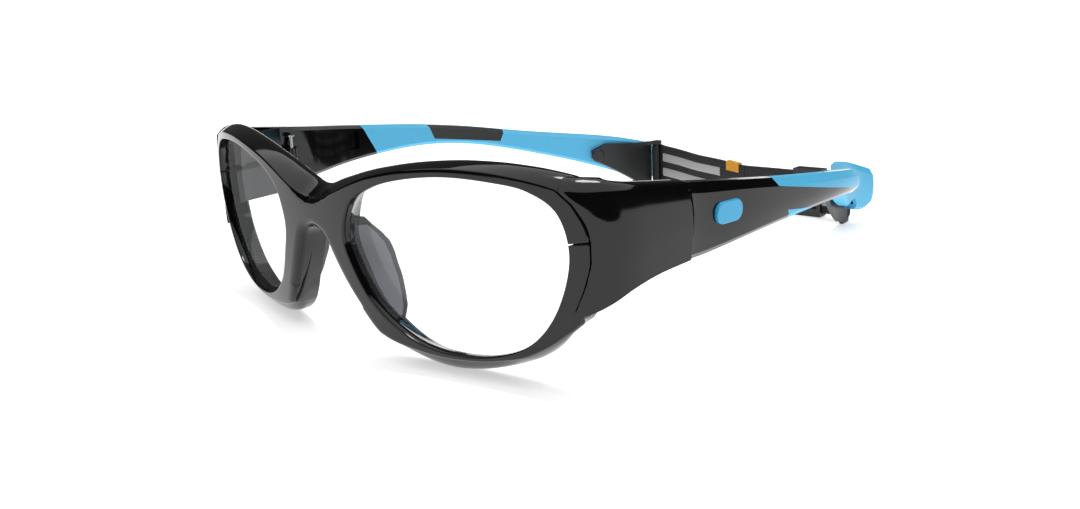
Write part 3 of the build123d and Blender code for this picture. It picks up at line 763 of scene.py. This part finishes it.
# ---- finishes of the CAD pieces, by the start of their names ----------------------------------
FINISH = {
    "temple_core": black_gloss, "temple_grip": blue_soft,
    "temple_badge": blue_trim, "temple_inner_bar": blue_trim, "strap_stud": black_satin,
    "strap_tab": black_satin, "strap_slider": black_satin, "strap_label": orange_ribbon,
    "ear_screws": steel, "hinge_pin": steel,
}
for name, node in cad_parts.items():
    for start, material in FINISH.items():
        if name.startswith(start):
            node.data.materials.clear()
            node.data.materials.append(material)
            soften(node, 0.25).harden_normals = True

# ---- studio: a pale light table, two suns, and a room that is dark on one side ----------------
FLOOR_HALF = 6            # m
FLOOR_DROP = 0.00005      # m, so that the floor doesn't share a plane with the pieces on it
SUNS = (("dome", 2.3, 100, (0, 0, 0)), ("key", 0.7, 14, (-14, -8, 0)))
LIGHT_SIDE = (-0.713, 0.701, -0.55)     # the room is bright this way and dim the other way


def light_table():
    """A large floor of matt white paper that glows a little."""
    paper = plastic("paper", (0.93, 0.93, 0.93), roughness=0.9, tint=0.003)
    glow = paper.node_tree.nodes["Principled BSDF"]
    glow.inputs["Emission Color"].default_value = (1, 1, 1, 1)
    glow.inputs["Emission Strength"].default_value = 0.55
    data = bpy.data.meshes.new("floor")
    corners = [(x * FLOOR_HALF, y * FLOOR_HALF, 0) for x, y in ((-1, -1), (1, -1), (1, 1), (-1, 1))]
    data.from_pydata(corners, [], [(0, 1, 2, 3)])
    data.materials.append(paper)
    floor = bpy.data.objects.new("floor", data)
    floor.location.z = -FLOOR_DROP
    bpy.context.scene.collection.objects.link(floor)


def add_sun(name, energy, spread, turn):
    """A sun of this angular size in degrees, turned by these angles from straight down."""
    data = bpy.data.lights.new(name, "SUN")
    data.energy = energy
    data.angle = math.radians(spread)
    sun = bpy.data.objects.new(name, data)
    sun.rotation_euler = [math.radians(a) for a in turn]
    bpy.context.scene.collection.objects.link(sun)


def add_room():
    """Light from all round, whose strength rises smoothly towards one side."""
    world = bpy.data.worlds.new("room")
    bpy.context.scene.world = world
    world.use_nodes = True
    tree = world.node_tree
    where = tree.nodes.new("ShaderNodeTexCoord")
    facing = tree.nodes.new("ShaderNodeVectorMath")
    facing.operation = "DOT_PRODUCT"
    facing.inputs[1].default_value = LIGHT_SIDE
    tree.links.new(where.outputs["Generated"], facing.inputs[0])
    strength = spread_over(tree, facing.outputs["Value"], 0.12, 1.4)
    strength.interpolation_type = "SMOOTHSTEP"
    strength.inputs["From Max"].default_value = 0.5
    tree.links.new(strength.outputs["Result"], tree.nodes["Background"].inputs["Strength"])


light_table()
for sun in SUNS:
    add_sun(*sun)
add_room()
bpy.context.scene.view_settings.view_transform = "Standard"

# ---- camera ---------------------------------------------------------------------------------
CAMERA_X, CAMERA_DEPTH, CAMERA_Z = 178.63, -111.51, 76.32
AZIMUTH, ELEVATION, ROLL = map(math.radians, (45.499, 15.823, -2.845))
LENS_MM, SENSOR_MM = 35.08, 36

forward = Vector((-math.sin(AZIMUTH) * math.cos(ELEVATION), math.cos(AZIMUTH) * math.cos(ELEVATION),
                  -math.sin(ELEVATION)))
aside = Vector((math.cos(AZIMUTH), math.sin(AZIMUTH), 0))
upright = aside.cross(forward)
right = math.cos(ROLL) * aside + math.sin(ROLL) * upright
up = math.cos(ROLL) * upright - math.sin(ROLL) * aside
camera_data = bpy.data.cameras.new("camera")
camera_data.sensor_width = SENSOR_MM
camera_data.sensor_fit = "HORIZONTAL"
camera_data.lens = LENS_MM
camera_data.clip_start = 0.01
camera = bpy.data.objects.new("camera", camera_data)
place = Matrix.Translation((CAMERA_X * MM, y_at(CAMERA_DEPTH) * MM, CAMERA_Z * MM))
camera.matrix_world = place @ Matrix((right, up, -forward)).transposed().to_4x4()
bpy.context.scene.collection.objects.link(camera)
bpy.context.scene.camera = camera

bpy.context.view_layer.update()
